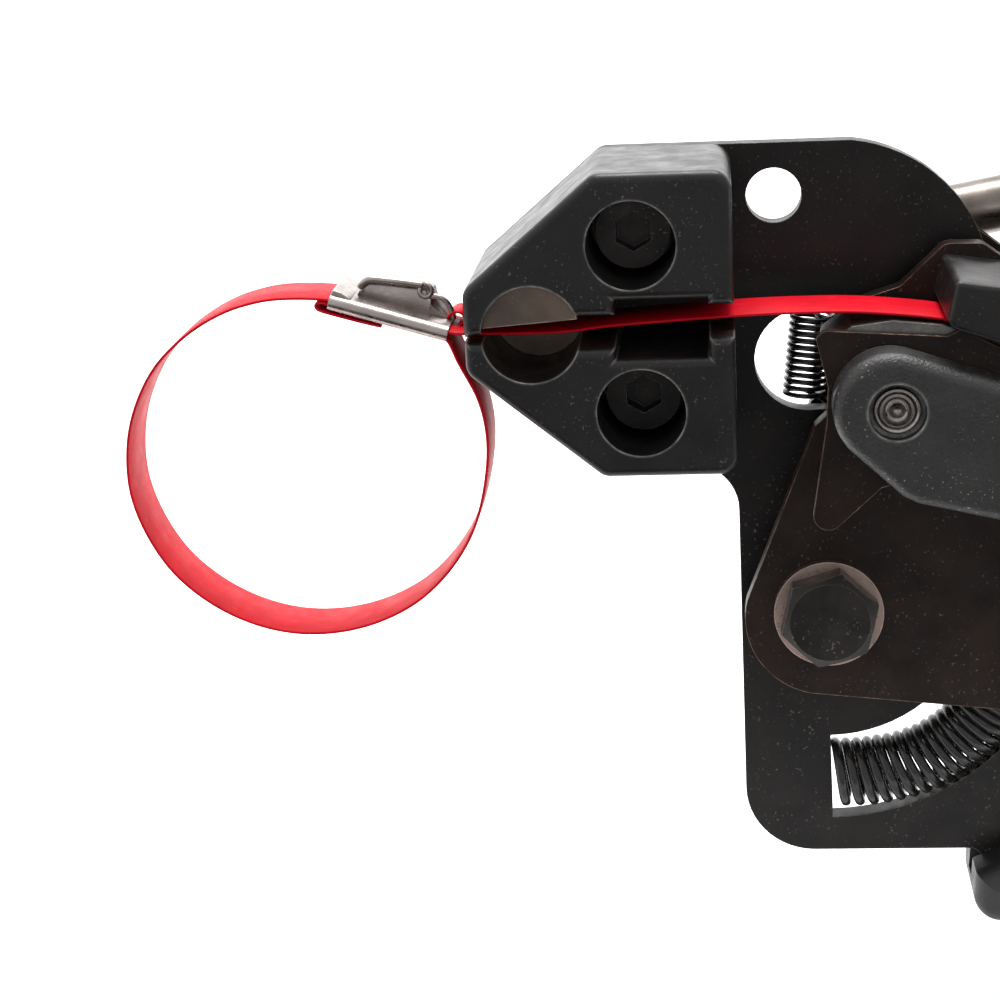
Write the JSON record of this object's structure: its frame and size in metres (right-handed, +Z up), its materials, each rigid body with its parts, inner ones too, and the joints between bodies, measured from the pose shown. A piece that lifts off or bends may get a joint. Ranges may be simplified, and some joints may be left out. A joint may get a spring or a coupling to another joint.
{
  "type": "band tie tensioning tool",
  "caption": "Hand tool that pulls up a coated steel band tie with a squeezed lever and a cam gripper, then cuts the tail with a half-round lever-turned shaft.",
  "frame": {"origin": "centre of the hang hole, half way through the frame plate", "axes": "+X towards the handles, +Y from the tie side to the cutter-lever side, +Z up"},
  "size_m": [0.2943, 0.0662, 0.1697],
  "materials": {
    "black_plate": "semi-matte black with a thin worn edge",
    "black_block": "satin black oxide with bright worn corners",
    "cast_lever": "coarse cast satin black",
    "oiled_steel": "brown-black oiled oxide with coppery worn edges",
    "bolt_steel": "dark grey, worn on the bevel",
    "washer_steel": "pinkish plated steel",
    "cutter_steel": "brown-bronze ground steel",
    "spring_wire": "glossy black",
    "pin_steel": "bright turned steel",
    "rod_steel": "warm satin steel",
    "grip_rubber": "matte black",
    "tie_coat": "smooth bright red coating",
    "buckle_steel": "satin stainless",
    "jaw_steel": "ground hardened steel"
  },
  "bodies": {
    "frame": {"frame_plate": "black_plate", "nose_block_upper": "black_block", "nose_block_lower": "black_block", "nose_screw_upper": "bolt_steel", "nose_screw_lower": "bolt_steel", "nose_nut_upper": "bolt_steel", "nose_nut_lower": "bolt_steel", "lower_grip_front": "grip_rubber", "lower_grip_rear": "grip_rubber", "grip_screw_inner": "bolt_steel", "grip_screw_outer": "bolt_steel", "return_spring": "spring_wire", "tie_band": "tie_coat", "tie_loop": "tie_coat", "tie_buckle": "buckle_steel", "tie_tongue": "buckle_steel"},
    "arm": {"arm_plate_front": "oiled_steel", "arm_plate_rear": "oiled_steel", "arm_spring_post": "bolt_steel", "pivot_bush": "pin_steel", "pivot_bolt": "bolt_steel", "pivot_washer_front": "washer_steel", "pivot_washer_rear": "washer_steel", "pivot_nut": "bolt_steel", "jaw_pin": "pin_steel", "pin_clip": "bolt_steel", "pin_spacer": "oiled_steel", "spring_seat": "oiled_steel", "seat_rivet": "bolt_steel", "upper_jaw_block": "black_block", "upper_jaw_insert": "jaw_steel", "jaw_block_screw_left": "bolt_steel", "jaw_block_screw_right": "bolt_steel", "handle_casting": "cast_lever", "handle_bolt": "bolt_steel", "handle_nut": "bolt_steel", "upper_grip": "grip_rubber"},
    "gripper": {"gripper_jaw": "jaw_steel", "gripper_cheek": "oiled_steel", "gripper_bush": "pin_steel", "gripper_rivet_upper": "bolt_steel", "gripper_rivet_lower": "bolt_steel", "gripper_spring_post": "bolt_steel", "jaw_spring": "spring_wire"},
    "cutter": {"cutter_shaft": "cutter_steel", "cutter_hub": "cast_lever", "cutter_lever_rod": "rod_steel", "cutter_lever_grip": "grip_rubber", "cutter_retaining_ring": "bolt_steel"}
  },
  "joints": [
    {"name": "tension_pivot", "type": "hinge", "parent": "frame", "child": "arm", "pos_m": [0.0083, 0, -0.0762], "axis": [0, 1, 0], "range_deg": [-6, 9], "stiffness_Nm_per_rad": 4, "deforming": ["return_spring", "tie_band"]},
    {"name": "gripper_pivot", "type": "hinge", "parent": "arm", "child": "gripper", "pos_m": [0.0193, 0, -0.0318], "axis": [0, 1, 0], "range_deg": [0, 6], "stiffness_Nm_per_rad": 0.3, "deforming": ["jaw_spring"]},
    {"name": "cutter_turn", "type": "hinge", "parent": "frame", "child": "cutter", "pos_m": [-0.0424, 0, -0.0177], "axis": [0, -1, 0], "range_deg": [0, 35], "deforming": ["tie_band"]}
  ]
}
